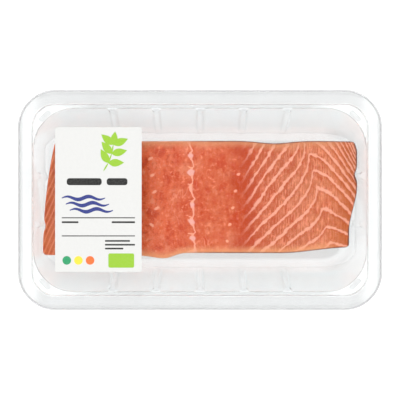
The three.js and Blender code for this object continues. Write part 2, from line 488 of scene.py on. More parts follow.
def seam_twigs():
    """Thin side branches of the seam, one to a step: each is a start, a reach and a rise."""
    twigs = []
    for row in range(6):
        y = SEAM_TOP - SEAM_PITCH * (row + 0.92)
        reach = 3.2 + 1.6 * noise.noise(Vector((row * 3.7, 0.4, 2.2)))
        rise = 2.4 * noise.noise(Vector((row * 2.9, 7.1, 0.3)))
        twigs.append((seam_x(y), y, reach, rise))
    return twigs


FLECKS = fleck_rows()
TWIGS = seam_twigs()


def twig_distance(x, y):
    """1 on the edge of the nearest side branch, less inside it."""
    nearest = 6.0
    for start_x, start_y, reach, rise in TWIGS:
        share = clamp((start_x - x) / reach)
        width = mix(0.75, 0.3, share)
        gap = math.hypot(x - (start_x - share * reach), y - (start_y + share * rise))
        nearest = min(nearest, gap / width)
    return nearest


def fleck_distance(x, y):
    """1 on the rim of the nearest fleck or side branch, less inside it."""
    nearest = min(4.0, twig_distance(x, y))
    for fleck_x, fleck_y, lean, size in FLECKS:
        right, up = x - fleck_x, y - fleck_y
        along = right * math.cos(lean) + up * math.sin(lean)
        across = up * math.cos(lean) - right * math.sin(lean)
        nearest = min(nearest, math.hypot(along / size, across))
    return nearest


print(len(FLECKS), "flecks")

# %% [markdown]
# ## Shaping the fillet
#
# A block is subdivided along each axis in turn, which keeps its faces square, and then every point is moved
# to its place on the fillet. The block's top becomes the flesh, its ends the rounded ends, its long sides the
# knife cuts and its underside the skin. That gives one closed mesh with an even net of faces, whose points
# carry the numbers that the material needs.

# %% Shaping the fillet
CUT_ROUND = 2.5
SKIN_ALONG = 11.0
SKIN_UP = 13.0
FLESH_TURN = 1.6
SKIN_SHARE = 0.6
FLAKE_RELIEF = 0.3
GROOVE_DEPTH = 0.7
GROOVE_WIDTH = 1.6


def rounding(distance):
    """How far the rounding beside a knife cut draws the surface in."""
    if distance >= CUT_ROUND:
        return 0.0
    return CUT_ROUND - math.sqrt(CUT_ROUND ** 2 - (CUT_ROUND - distance) ** 2)


def end_profile(share, top):
    """Inset of an end and its height, from the underside at share 0 up to the flesh at 1."""
    if share < SKIN_SHARE:
        angle = share / SKIN_SHARE * math.pi / 2
        return SKIN_ALONG * (1 - math.sin(angle)), SKIN_UP * (1 - math.cos(angle))
    angle = (share - SKIN_SHARE) / (1 - SKIN_SHARE) * math.pi / 2
    return FLESH_TURN * (1 - math.cos(angle)), mix(SKIN_UP, top, math.sin(angle))


def flesh_relief(x, y):
    """The small ups and downs of the flesh: flakes, the midline's groove and unevenness."""
    flakes = FLAKE_RELIEF * ease(x, 26, 36) * math.cos(2 * math.pi * flake_number(x, y))
    groove = hill(x, GROOVE_DEPTH, seam_x(y), GROOVE_WIDTH)
    uneven = 0.35 * noise.noise(Vector((x * 0.06, y * 0.06, 1.7)))
    fine = 0.14 * noise.noise(Vector((x * 0.45, y * 0.25, 5.2)))
    return uneven + fine - flakes - groove


def fillet_point(along, across, up):
    """Where a point of the block lies on the fillet. Each share runs from 0 to 1."""
    eased = across - 0.6 * math.sin(2 * math.pi * across) / (2 * math.pi)
    width = TAIL_SIDE + HEAD_SIDE
    level = mix(-TAIL_SIDE, HEAD_SIDE, eased)
    edge = min(eased, 1 - eased) * width
    drop = rounding(edge)
    inset = end_profile(up, END_THICKNESS)[0]
    left = belly_end(level) + drop + inset
    right = back_end(level) - drop - inset
    x = mix(left, right, along)
    y = mix(tail_cut(x), head_cut(x), eased)
    height = end_profile(up, flesh_height(x, level) - drop)[1]
    end = min(along, 1 - along) * (right - left)
    shown = ease(up, 0.7, 1.0) * ease(end, 0, 3) * ease(edge, 0, 2)
    return x, y, FLOOR_HEIGHT + height + flesh_relief(x, y) * shown


def flesh_numbers(x, y, z):
    """What the finish needs to know at a point, nearly all of it in millimetres."""
    return {
        "flake": flake_number(x, y),
        "spacing": flake_spacing(x, y),
        "steep": hill(crest_offset(x, y), 1.0, -3.5, 3.5),
        "seam": x - seam_x(y),
        "seam_width": seam_width(y),
        "fleck": fleck_distance(x, y),
        "cut": min(y - tail_cut(x), head_cut(x) - y),
        "end": min(x - belly_end(y), back_end(y) - x),
        "depth": flesh_height(x, y) + FLOOR_HEIGHT - z,
        "rise": z - FLOOR_HEIGHT,
    }


def shape_fillet(cuts):
    shape = bmesh.new()
    bmesh.ops.create_cube(shape, size=1.0)
    for axis, count in enumerate(cuts):
        long_edges = edges_along(shape, axis, 0.5)
        bmesh.ops.subdivide_edges(shape, edges=long_edges, cuts=count, use_grid_fill=True)
    layers = {name: shape.verts.layers.float.new(name) for name in flesh_numbers(0.0, 0.0, 0.0)}
    for vert in shape.verts:
        along, across, up = (value + 0.5 for value in vert.co)
        spot = fillet_point(along, across, up)
        vert.co = spot
        for name, number in flesh_numbers(*spot).items():
            vert[layers[name]] = number
    return shape


# %% [markdown]
# ## The flesh's colour
#
# Raw salmon is a moist orange red, deepest in a band beside the midline and paler on the back. Over that base
# come soft blotches, short squiggles of fat and fine fibres that run from head to tail. Each is a function
# that takes the colour so far and paints one thing over it. The patterns are soft noises on object
# coordinates, so they go on down the cut sides and no seam shows.

# %% The flesh's base
TONES = [
    # The stop at the belly tip is lighter than the next: painted light that lifts the shade cast there by the
    # label and the end wall.
    (-97, (219, 118, 68)),
    (-84, (211, 95, 55)),
    (-32, (217, 96, 56)),
    (-14, (202, 90, 55)),
    (20, (198, 90, 54)),
    (38, (183, 85, 49)),
    (60, (187, 102, 66)),
    (94, (205, 118, 76)),
]
HALF_RAMP = 100  # millimetres


def length_tones(tree):
    """The base colour from belly to back, with wandering borders between its tones."""
    x = axis_of(tree, "X") + swing(tree, 0.022, 60.0)
    share = add(tree, "MapRange", Value=x, From_Min=-HALF_RAMP * MM, From_Max=HALF_RAMP * MM).outputs[0]
    ramp = add(tree, "ValToRGB", Fac=share)
    elements = ramp.color_ramp.elements
    while len(elements) < len(TONES):
        elements.new(0.5)
    for element, (x_mm, colour) in zip(elements, TONES):
        element.position = (x_mm + HALF_RAMP) / (2 * HALF_RAMP)
        element.color = paint(*colour)
    return ramp.outputs[0]


def blotches(tree, colour):
    """Soft clouds of redder and paler flesh, each a few millimetres wide and longer from head to tail."""
    soft = grain(tree, 150.0, detail=5.0, roughness=0.65, stretch=(1.0, 0.75, 1.0))
    front = axis_of(tree, "X").ramp(0.04, 0.02, 0.35, 1.0)
    colour = cover(soft.ramp(0.5, 0.64) * front, 0.8, colour, paint(185, 55, 17))
    colour = cover(soft.ramp(0.48, 0.34), 0.55, colour, paint(217, 128, 94))
    specks = grain(tree, 420.0, detail=3.0, roughness=0.6)
    colour = cover(specks.ramp(0.54, 0.68), 0.6, colour, paint(177, 57, 23))
    return cover(specks.ramp(0.44, 0.3), 0.65, colour, paint(232, 138, 100))


def deep_band(tree, colour):
    """The deepest red, in a patchy band just before the first pale lines."""
    x = axis_of(tree, "X") + grain(tree, 55.0, turn=0.5) * 0.02
    patch = grain(tree, 120.0, detail=4.0, stretch=(1.0, 0.7, 1.0)).ramp(0.32, 0.55)
    band = x.ramp(0.026, 0.036) * x.ramp(0.050, 0.040) * patch
    return cover(band, 0.9, colour, paint(176, 56, 14))


def veins(tree, colour):
    """Short pale squiggles of fat near the midline, where a soft noise crosses one value."""
    field = grain(tree, 95.0, detail=3.0, roughness=0.6, stretch=(1.0, 0.5, 1.0))
    ridge = abs(field - 0.5).ramp(0.016, 0.004)
    patch = grain(tree, 75.0, detail=1.0, turn=1.0).ramp(0.5, 0.62)
    near = abs(attribute(tree, "seam")).ramp(22.0, 4.0, 0.25, 1.0)
    return cover(ridge * patch * near, 0.5, colour, paint(240, 155, 123))


def fibres(tree, colour):
    """Fine threads from head to tail, clearest on the back half."""
    threads = grain(tree, 1300.0, detail=1.0, stretch=(1.0, 0.08, 1.0))
    shown = axis_of(tree, "X").ramp(0.03, 0.05, 0.12, 1.0)
    colour = cover(threads.ramp(0.5, 0.64) * shown, 0.4, colour, paint(170, 65, 36))
    return cover(threads.ramp(0.5, 0.36) * shown, 0.45, colour, paint(236, 147, 115))


print(len(TONES), "tones from belly to back")

# %% [markdown]
# ## The flesh's lines
#
# Over the base come the pale lines between the flakes, the midline, the pin bones, the browner ends and the
# orange fringe of the knife cuts. They read the numbers stored in the mesh: a line is drawn wherever its
# distance is small. A noise bends the number first, so that no line is as even as its formula.

# %% The flesh's lines
def flake_lines(tree, colour):
    """Pale lines where the flake number is whole, with a painted shadow below each. Gives both back."""
    steep, spacing = attribute(tree, "steep"), attribute(tree, "spacing")
    bend = swing(tree, 0.26, 210.0) + swing(tree, 0.5, 48.0, detail=0.0)
    number = attribute(tree, "flake") + bend
    distance = (number - round(number)) * spacing
    shown = axis_of(tree, "X").ramp(0.024, 0.036)
    # A painted shadow on the lower side of each line.
    below = distance.ramp(0.3, 0.8) * distance.ramp(2.6, 1.3) * shown
    colour = cover(below, 0.5, colour, paint(179, 74, 34))
    knots = grain(tree, 300.0, detail=2.0).ramp(0.35, 0.65, 0.6, 1.55)
    width = knots * steep.ramp(0.0, 1.0, 1.0, 0.75) * spacing.ramp(1.2, 5.0, 0.55, 1.0)
    line = (abs(distance) / width).ramp(1.05, 0.35) * shown
    line = line * steep.ramp(0.0, 1.0, 1.0, 0.85) * attribute(tree, "end").ramp(1.2, 2.2)
    return cover(line, 0.95, colour, paint(228, 157, 131)), line


def midline(tree, colour):
    """The chain of pale drops, ragged at its edges and mauve where it is thick."""
    width = attribute(tree, "seam_width")
    reach = abs(attribute(tree, "seam") + swing(tree, 2.5, 380.0)) / width
    thread = reach.ramp(1.15, 0.6) * attribute(tree, "depth").ramp(2.0, 8.0, 1.0, 0.4)
    fat = blend(width.ramp(0.9, 1.7), paint(232, 157, 133), paint(228, 164, 152))
    return cover(thread, 0.95, colour, fat), thread


def pin_bones(tree, colour):
    distance = attribute(tree, "fleck") + swing(tree, 0.9, 600.0)
    return cover(distance.ramp(1.2, 0.5), 0.9, colour, paint(236, 159, 127))


def ends(tree, colour):
    """Browner flesh near the back end with painted shade along its edge, where it rounds down, and slanting
    pale stripes on the belly end.
    """
    x, end = axis_of(tree, "X"), attribute(tree, "end")
    back = x.ramp(0.0, 0.02)
    colour = cover(end.ramp(20.0, 4.0) * back, 0.7, colour, paint(176, 82, 28))
    # Painted shade along the back end's edge, where the flesh rounds down towards the skin.
    colour = cover(end.ramp(2.2, 1.4) * back, 0.9, colour, paint(103, 40, 17))
    settings = {"wave_type": "BANDS", "bands_direction": "X"}
    spot = place(tree, turn=math.radians(24))
    waves = measure(tree, "TexWave", settings, 1, Vector=spot, Scale=118.0, Distortion=1.5)
    colour = cover(x.ramp(-0.074, -0.086), 0.6, colour, paint(194, 92, 50))
    return cover(waves.ramp(0.55, 0.9) * x.ramp(-0.06, -0.08), 0.7, colour, paint(228, 134, 96))


def knife_cuts(tree, colour):
    """An orange fringe along the two knife cuts, with a dark line painted near the top of each cut's
    rounding.
    """
    cut, depth = attribute(tree, "cut"), attribute(tree, "depth")
    fringe = (cut + grain(tree, 200.0) * 2.4).ramp(7.2, 1.6)
    fringe = fringe * attribute(tree, "end").ramp(2.0, 22.0) * depth.ramp(1.5, 5.0, 1.0, 0.3)
    tail_side = axis_of(tree, "Y").ramp(0.01, -0.01)
    orange = blend(tail_side, paint(206, 136, 96), paint(222, 152, 106))
    colour = cover(fringe, 0.75, colour, orange)
    # A dark line painted near the top of each cut's rounding, from the middle towards the back.
    rim = cut.ramp(1.1, 0.4) * depth.ramp(3.6, 2.6) * axis_of(tree, "X").ramp(-0.012, 0.012)
    return cover(rim, 0.8, colour, paint(103, 53, 42))


# %% [markdown]
# ## The skin
#
# The fillet lies on its skin, which shows through the tray's floor, up the rounded ends, and as a thin dark
# line at the foot of the cuts. It is silver grey, darker towards the back, with small scales. A share made
# from the height above the tray's floor mixes it in, so flesh and skin are one finish on one mesh.

# %% The skin and the whole finish
def skin_colour(tree):
    """Silver grey with scales and, towards the back, dark spots. Gives the scales back too."""
    scales = measure(tree, "TexVoronoi", Vector=place(tree, (1.0, 1.5, 1.0)), Scale=420.0)
    x = axis_of(tree, "X")
    silver = blend(x.ramp(-0.02, 0.08), paint(196, 194, 190), paint(96, 100, 104))
    silver = cover(scales.ramp(0.25, 0.6), 0.45, silver, paint(120, 124, 128))
    spots = grain(tree, 110.0, detail=1.0).ramp(0.66, 0.72) * x.ramp(0.02, 0.06)
    return cover(spots, 0.7, silver, paint(40, 42, 44)), scales


def skin_share(tree):
    """1 on the skin, 0 on the flesh: the skin reaches higher on the ends than on the cuts."""
    rise = attribute(tree, "rise") + swing(tree, 1.4, 120.0)
    top = abs(axis_of(tree, "X")).ramp(0.084, 0.092, 0.7, 9.0)
    return (rise - top).ramp(0.3, -0.3)


def make_flesh():
    """The one finish of the fillet, flesh and skin."""
    material, tree, shader = new_material("salmon flesh")
    colour = length_tones(tree)
    for layer in (blotches, deep_band, fibres, veins, ends):
        colour = layer(tree, colour)
    colour, line = flake_lines(tree, colour)
    colour, thread = midline(tree, colour)
    colour = knife_cuts(tree, pin_bones(tree, colour))
    skin, scales = skin_colour(tree)
    share = skin_share(tree)
    roughness = grain(tree, 300.0) * 0.2 + 0.15
    feed(tree, shader, Base_Color=cover(share, 1.0, colour, skin), Roughness=roughness)
    relief = line * 0.5 + thread * 0.6 + grain(tree, 700.0, stretch=(1.0, 0.25, 1.0))
    relief = relief + scales * share * 0.6
    bump(tree, shader, relief, 0.5, 0.25 * MM)
    feed(tree, shader, Specular_IOR_Level=0.25, Subsurface_Weight=0.1, Subsurface_Scale=1.5 * MM)
    feed(tree, shader, Subsurface_Radius=(1.0, 0.35, 0.2))
    return material


FILLET_CUTS = (320, 128, 12)
finish_piece("salmon_fillet", shape_fillet(FILLET_CUTS), make_flesh(), "fillet")

# %% [markdown]
# ## The tray's levels
#
# The tray is formed from one sheet of clear plastic, drawn down hot into a mould. So it has one wall
# thickness, soft radii and a lean on every wall. From the floor up it has a base radius, a leaning main wall
# with stiffening ribs, a small shelf in each corner, a short collar, the flat flange that the film is welded
# to, and a lip that turns down.

# %% The tray's sizes
SHEET = FLOOR_HEIGHT
TRAY = box_of("tray")[1]
FLANGE_WIDTH = 9.2
TRAY_CORNER = 22.9
LIP_DROP = 3.2
LIP_ROUND = 1.4
MOUTH_ROUND = 0.8
COLLAR_DRAFT = 0.3
SHELF_HEIGHT = TRAY[2] - 3.4
SHELF_FALL = 0.4
WALL_CORNER = 24.0
END_WALL = {"top": 100.6, "lean": math.radians(3), "base": 8.0}
SIDE_WALL = {"top": 55.4, "lean": math.radians(24), "base": 4.0}
RIB_DEPTH = 1.4
RIB_CROWN = 1.0
RIB_FADES = (23.0, 29.4)
SIDE_RIBS = [26.7 * (i - 2) for i in range(5)]
END_RIBS = [-END_RIB, END_RIB]
CORNER_STEPS = 24
OUTWARDS = [(0, 1, 0), (-1, 0, 0), (0, -1, 0), (1, 0, 0)]
MOUTH = (TRAY[0] - FLANGE_WIDTH, TRAY[1] - FLANGE_WIDTH)
FLANGE_CENTRE = (TRAY[0] - TRAY_CORNER, TRAY[1] - TRAY_CORNER)
WALL_CENTRE = (END_WALL["top"] - WALL_CORNER, SIDE_WALL["top"] - WALL_CORNER)
print("tray in mm:", [round(side, 1) for side in TRAY])

# %% [markdown]
# ## The tray's rings
#
# Each level of the tray is a ring of points. All rings have the same count of points in the same order, so
# that they can be joined into a tube, and so that the shelf can lie part of the way from one to the next.

# %% The tray's rings
def wall_reach(z, wall):
    """How far a wall's inner face stands from the middle at a height: a leaning line on a base arc."""
    def line(height):
        return wall["top"] - (SHELF_HEIGHT - height) * math.tan(wall["lean"])

    base = wall["base"]
    arc_top = SHEET + base * (1 - math.sin(wall["lean"]))
    if z >= arc_top:
        return line(z)
    below = base - (z - SHEET)
    centre = line(arc_top) - base * math.cos(wall["lean"])
    return centre + math.sqrt(max(base * base - below * below, 0))


def rib_crown(distance):
    """1 on the crown of a rib, 0 past its foot."""
    return 1 - ease(abs(distance), RIB_CROWN, RIB_FOOT)


def wall_stations(ribs, reach):
    """Places along a wall, close together on the ribs and far apart between them."""
    stations = []
    for rib in ribs:
        stations += [rib + step / 6 * (RIB_FOOT + 0.3) for step in range(-6, 7)]
    stops = [-reach] + list(ribs) + [reach]
    for start, end in zip(stops, stops[1:]):
        stations += [mix(start, end, share) for share in (0.35, 0.5, 0.65)]
    return sorted(stations)


WALLS = [(END_RIBS, wall_stations(END_RIBS, 28)), (SIDE_RIBS, wall_stations(SIDE_RIBS, 70))]


def ring(reach, z, centre, rib_depths=(0.0, 0.0)):
    """One level's points, counterclockwise from above: four corners, each with the wall after it."""
    points = []
    for quarter in range(4):
        start = quarter * math.pi / 2
        side_x = 1 if quarter in (0, 3) else -1
        side_y = 1 if quarter in (0, 1) else -1
        for step in range(CORNER_STEPS + 1):
            angle = start + step / CORNER_STEPS * math.pi / 2
            x = side_x * centre[0] + (reach[0] - centre[0]) * math.cos(angle)
            y = side_y * centre[1] + (reach[1] - centre[1]) * math.sin(angle)
            points.append(Vector((x, y, z)))
        axis = 1 - quarter % 2
        ribs, stations = WALLS[axis]
        out = Vector(OUTWARDS[quarter])
        along = Vector((-out.y, out.x, 0))
        for station in stations:
            crown = max(rib_crown(station - rib) for rib in ribs)
            distance = reach[axis] - rib_depths[axis] * crown
            points.append(out * distance + along * station + Vector((0, 0, z)))
    return points


def wall_ring(z, inwards=0.0):
    rise = ease(z, 1, 9)
    top = SHELF_HEIGHT - SHELF_FALL
    depths = [RIB_DEPTH * rise * (1 - ease(z, fade, top)) for fade in RIB_FADES]
    reach = (wall_reach(z, END_WALL) - inwards, wall_reach(z, SIDE_WALL) - inwards)
    return ring(reach, z, WALL_CENTRE, depths)


def flange_ring(outside, z):
    return ring((MOUTH[0] + outside, MOUTH[1] + outside), z, FLANGE_CENTRE)


# %% [markdown]
# ## The shelf and the tones
#
# The sheet is clearest where it was drawn thinnest, in the walls, and greyest in the flange and its lip. So
# each point of a ring also gets a tone from 0 to 1, which the plastic's finish reads later. The tones also
# carry painted shade and painted highlights: a painted shadow of the fish on the floor, painted bands and rib
# shading on the walls, painted grey on the shelf's long steps, round the lugs and along the rim, and painted
# highlights on the flange's ends, the shelf's inner edge and the lugs' tops.

# %% The shelf and the tones
# The floor rings' grey is painted shadow of the fillet on the tray's floor beside it.
FLOOR_SHADE_TONES = [(3.0, 0.5), (1.6, 0.5), (0.6, 0.33), (0.0, 0.22)]
WALL_BAND_SHADE = 0.05
WALL_LOSS_TONE = 0.03
END_BASE_TONE = 0.2
FLANK_SHADE = 0.7
CROWN_SHADE = 0.6
SHELF_TONE = 0.15
STEP_SHADE = 0.4
MOUTH_TONE = 0.2
END_HIGHLIGHT = 0.45
LIP_TONE_AND_SHADE = 0.7
LIP_FOOT_TONE_AND_SHADE = 0.85
# Tones across the flange from the mouth outwards: the rise near its outer edge is painted shade that starts
# the rim's grey band.
FLANGE_TONES = [(1.1, 0.6), (3.0, 0.56), (5.6, 0.58), (6.4, 0.7), (7.5, 0.75)]


def shelf_ring(share):
    inner = wall_ring(SHELF_HEIGHT)
    outer = flange_ring(-COLLAR_DRAFT, SHELF_HEIGHT + SHELF_FALL)
    return [a.lerp(b, share) for a, b in zip(inner, outer)]


def wall_tone_and_shade(point):
    """Clear on the base radius and greyer low on the end walls. The rest is painted shade: grey at the floor
    beside the fish, a darker band up the wall, and darker on the ribs' flanks and over their crowns.
    """
    rise, along = point.z, abs(point.x)
    # Painted shadow of the fillet: grey on the floor, fading out up the base radius.
    tone = FLOOR_SHADE_TONES[-1][1] * ease(rise, 6, 2)
    # A painted darker band up the middle of the wall, lighter again near its top.
    tone += WALL_BAND_SHADE * ease(rise, 9, 13) - WALL_LOSS_TONE * ease(rise, 17, 23)
    tone += END_BASE_TONE * ease(along, 76, 88) * ease(rise, 1, 4) * ease(rise, 13, 7)
    if along < WALL_CENTRE[0]:
        crown = max(rib_crown(point.x - rib) for rib in SIDE_RIBS)
        # Painted shade on the ribs' flanks and a painted dark tick over each rib's top.
        tone += FLANK_SHADE * crown * (1 - crown) * ease(rise, 6, 10) * ease(rise, 30, 26)
        tone += CROWN_SHADE * crown * ease(rise, 29.0, 30.2)
    return tone * ease(rise, SHELF_HEIGHT - 0.2, SHELF_HEIGHT - 0.8)


def shelf_tone(point):
    """On the long sides the shelf is a narrow step, painted as grey as the wall looks under it; in the
    corners it stays nearly clear, as a painted highlight.
    """
    return SHELF_TONE + STEP_SHADE * ease(abs(point.x), 82, 72) * ease(abs(point.y), 50, 53)


def flange_tone(point, tone):
    """A painted highlight pales the flange across the two ends."""
    along = abs(point.x)
    return tone * (1 - END_HIGHLIGHT * ease(along, 94, 102) * ease(along, 108, 106.5))


def mouth_tone(point):
    return MOUTH_TONE * ease(abs(point.x), 98, 92)


def toned(points, tone):
    """A ring's points, each with its tone: one number for them all, or a function of the point."""
    return [(point, tone(point) if callable(tone) else tone) for point in points]


def quarter_turn(steps):
    """Sine and cosine at even steps of a right angle."""
    angles = [step / steps * math.pi / 2 for step in range(steps + 1)]
    return [(math.sin(angle), math.cos(angle)) for angle in angles]


def wall_rings():
    """The base radius, then the wall, with more rings where the ribs run out."""
    base, fade = END_WALL["base"], RIB_FADES[1]
    levels = [SHEET + base * (1 - cosine) for sine, cosine in quarter_turn(14)[1:]]
    levels += [mix(SHEET + base, fade, step / 12) for step in range(1, 13)]
    levels += [mix(fade, SHELF_HEIGHT - 0.1, step / 6) for step in range(1, 7)]
    return [toned(wall_ring(z), wall_tone_and_shade) for z in levels]


def shelf_rings():
    """The shelf from the wall outwards, then the collar."""
    rings = []
    for step in range(13):
        share = 0.04 + 0.92 * step / 12
        # The shelf's inner edge is left clear: a painted highlight along it.
        away = ease(share, 0, 0.3)
        rings.append([(point, away * shelf_tone(point)) for point in shelf_ring(share)])
    for inside, rise in ((1.0, 0.15), (0.9, 0.5)):
        collar = flange_ring(-COLLAR_DRAFT * inside, SHELF_HEIGHT + SHELF_FALL + rise)
        rings.append(toned(collar, shelf_tone))
    return rings


def rim_rings():
    """The rounded mouth, the flange and the lip."""
    rings = []
    for sine, cosine in quarter_turn(5):
        mouth = flange_ring(MOUTH_ROUND * (1 - cosine), TRAY[2] - MOUTH_ROUND * (1 - sine))
        rings.append(toned(mouth, mouth_tone))
    for outside, tone in FLANGE_TONES:
        rings.append([(point, flange_tone(point, tone)) for point in flange_ring(outside, TRAY[2])])
    # The lip's deeper grey is partly the thick sheet and partly painted shade along the rim.
    for step, (sine, cosine) in enumerate(quarter_turn(6)):
        lip = flange_ring(FLANGE_WIDTH - LIP_ROUND * (1 - sine), TRAY[2] - LIP_ROUND * (1 - cosine))
        rings.append(toned(lip, mix(LIP_TONE_AND_SHADE, LIP_FOOT_TONE_AND_SHADE, step / 6)))
    for rise in (0.2, 0.0):
        rings.append(toned(flange_ring(FLANGE_WIDTH, TRAY[2] - LIP_DROP + rise), LIP_FOOT_TONE_AND_SHADE))
    return rings


def tray_rings():
    """Every ring of the sheet's upper face, from the floor out to the foot of the lip."""
    floor_rings = [toned(wall_ring(SHEET, inwards), tone) for inwards, tone in FLOOR_SHADE_TONES]
    return floor_rings + wall_rings() + shelf_rings() + rim_rings()


print(len(tray_rings()), "rings of", len(wall_ring(SHEET)), "points")

# %% [markdown]
# ## Forming the tray
#
# A flat grid with one row for each ring and one column for each place round the tray is wrapped up: every
# grid point moves to its ring's point, and the two ends of each row are merged. The hole left in the floor is
# filled. Solidify then gives the sheet its thickness, on the outside only, so that the inner face stays.

# %% Forming the tray
def wrap_rings(rings):
    """A tube of faces through rings of points, made from a grid that is wrapped and welded."""
    rows, columns = len(rings) - 1, len(rings[0])
    shape = bmesh.new()
    bmesh.ops.create_grid(shape, x_segments=columns, y_segments=rows, size=0.5)
    layer = shape.verts.layers.float.new("tone")
    for vert in shape.verts:
        column = round((vert.co.x + 0.5) * columns)
        point, tone = rings[round((vert.co.y + 0.5) * rows)][column % columns]
        vert.co = point
        vert[layer] = tone
    bmesh.ops.remove_doubles(shape, verts=shape.verts, dist=1e-4)
    return shape


def shape_tray():
    shape = wrap_rings(tray_rings())
    floor_edges = [e for e in shape.edges if e.is_boundary and e.verts[0].co.z < SHEET + 0.1]
    bmesh.ops.contextual_create(shape, geom=floor_edges)
    bmesh.ops.recalc_face_normals(shape, faces=shape.faces)
    shape.faces.ensure_lookup_table()
    floor_face = max(shape.faces, key=lambda face: len(face.verts))
    if floor_face.normal.z < 0:
        bmesh.ops.reverse_faces(shape, faces=shape.faces)
    bmesh.ops.solidify(shape, geom=shape.faces[:], thickness=SHEET)
    heights = [vert.co.z for vert in shape.verts]
    print("tray from", round(min(heights), 2), "to", round(max(heights), 2), "mm")
    return shape


# %% [markdown]
# ## Clear plastic
#
# Both plastics are thin glass: light passes, bends a little and is mirrored a little. The tray's sheet is
# also faintly milky and, in patches, faintly hazy, where the mould's skin has printed on it. Alpha lets part
# of it count as air, because the real sheet is thinner than the solid one. Its drawn walls have a touch of
# cold blue, and the rings' tones mix in a grey. The lid film is clear and bends next to nothing.

# %% Clear plastic
COOL = paint(243, 253, 255)
DENSE = paint(164, 165, 166)


def make_clear(name, colour, index, milk, alpha, haze):
    """A clear plastic: milk is the share of light that it scatters, alpha the share that isn't air."""
    material, tree, shader = new_material(name)
    rough = grain(tree, 90.0).ramp(0.35, 0.7, 0.0, haze) if haze else 0.0
    feed(tree, shader, Transmission_Weight=1 - milk, IOR=index, Alpha=alpha, Roughness=rough)
    height, side = axis_of(tree, "Z"), abs(axis_of(tree, "X"))
    drawn = height.ramp(0.034, 0.028) * height.ramp(0.007, 0.013) * side.ramp(0.094, 0.084)
    colour = cover(drawn, 1.0, colour, COOL)
    share = attribute(tree, "tone") + grain(tree, 60.0, detail=2.0) * 0.06
    feed(tree, shader, Base_Color=cover(share, 1.0, colour, DENSE))
    return material


sheet_finish = make_clear("clear formed sheet", paint(252, 253, 253), 1.22, 0.15, 0.65, 0.06)
finish_piece("formed_tray", shape_tray(), sheet_finish, "tray")

# %% [markdown]
# ## The lid film
#
# The film is welded flat on the flange and cut about 2 mm inside the tray's edge. It is a flat block with
# rounded upright edges, and starts a hair above the flange, so that the two faces don't lie in one plane.

# %% The lid film
WELD_GAP = 0.03
FILM_CORNER = 20.9


def rounded_card(low, high, corner, segments):
    """A flat block between two corners, with its upright edges rounded."""
    shape = bmesh.new()
    bmesh.ops.create_cube(shape, size=1.0)
    size = [b - a for a, b in zip(low, high)]
    middle = [(a + b) / 2 for a, b in zip(low, high)]
    bmesh.ops.scale(shape, vec=size, verts=shape.verts)
    upright = edges_along(shape, 2, size[2] / 2)
    bmesh.ops.bevel(
        shape, geom=upright, offset=corner, segments=segments, profile=0.5, affect="EDGES", material=-1
    )
    bmesh.ops.translate(shape, vec=middle, verts=shape.verts)
    return shape


def laid_card(node, corner, segments):
    """The card that stands for a flat solid, lifted by a hair from what it lies on."""
    low, high = box_of(node)
    low[2] += WELD_GAP
    return rounded_card(low, high, corner, segments)


film_finish = make_clear("clear lid film", paint(254, 255, 255), 1.1, 0.0, 1.0, 0.0)
finish_piece("lid_film", laid_card("film", FILM_CORNER, 24), film_finish, "film", shade=False)

# %% [markdown]
# ## The lugs
#
# Each corner shelf carries one small lug, which keeps stacked empty trays from jamming into each other. It
# is a pill-shaped step across the corner: a block with round ends, turned by 45 degrees and sunk a little.

# %% The lugs
LUG_MIDDLE = (94.0, 50.8)
LUG_SIZE = (8.2, 2.6, 1.2)
LUG_SUNK = 0.5
LUG_OUTLINE_SHADE = 0.5


def join_mesh(whole, part):
    """Adds one bmesh to another and frees it."""
    spare = bpy.data.meshes.new("spare")
    part.to_mesh(spare)
    part.free()
    whole.from_mesh(spare)
    bpy.data.meshes.remove(spare)


def shape_lugs():
    shape = bmesh.new()
    half = [side / 2 for side in LUG_SIZE]
    foot = SHELF_HEIGHT - LUG_SUNK
    for side_x in (-1, 1):
        for side_y in (-1, 1):
            low = [-half[0], -half[1], foot]
            high = [half[0], half[1], SHELF_HEIGHT + LUG_SIZE[2]]
            lug = rounded_card(low, high, half[1] - 0.01, 8)
            turn = Matrix.Rotation(-side_x * side_y * math.pi / 4, 3, "Z")
            bmesh.ops.rotate(lug, cent=(0, 0, 0), matrix=turn, verts=lug.verts)
            spot = (side_x * LUG_MIDDLE[0], side_y * LUG_MIDDLE[1], 0)
            bmesh.ops.translate(lug, vec=spot, verts=lug.verts)
            layer = lug.verts.layers.float.new("tone")
            # Painted highlight: each lug's top stays clear, and its sides fade to a painted grey outline.
            for vert in lug.verts:
                vert[layer] = 0.0 if vert.co.z > SHELF_HEIGHT else LUG_OUTLINE_SHADE
            join_mesh(shape, lug)
    return shape


finish_piece("shelf_lugs", shape_lugs(), sheet_finish, shade=False)

# %% [markdown]
# ## The label
#
# A paper label lies on the film over the belly end. It is a card with slightly rounded corners and a faint
# mottle. An ink is a flat colour with a little wear, so that it looks printed and not painted.

# %% The label's card
LABEL_BOX = box_of("label")
LABEL_MIDDLE = [(low + high) / 2 for low, high in zip(*LABEL_BOX)]
LABEL_CORNER = 0.8
INK_FOOT = LABEL_BOX[1][2] - 0.01
INK_TOP = LABEL_BOX[1][2] + 0.02


def make_paper():
    material, tree, shader = new_material("coated paper")
    mottle = grain(tree, 700.0).ramp(0.3, 0.7)
    colour = cover(mottle, 0.5, paint(200, 200, 198), paint(196, 196, 194))
    feed(tree, shader, Base_Color=colour, Roughness=0.55)
    bump(tree, shader, grain(tree, 2200.0), 0.2, 0.02 * MM)
    return material


def make_ink(name, colour):
    material, tree, shader = new_material(name)
    worn = grain(tree, 1500.0).ramp(0.35, 0.75)
    shown = cover(worn, 0.05, paint(*colour), paint(220, 220, 218))
    feed(tree, shader, Base_Color=shown, Roughness=0.5, Specular_IOR_Level=0.2)
    return material


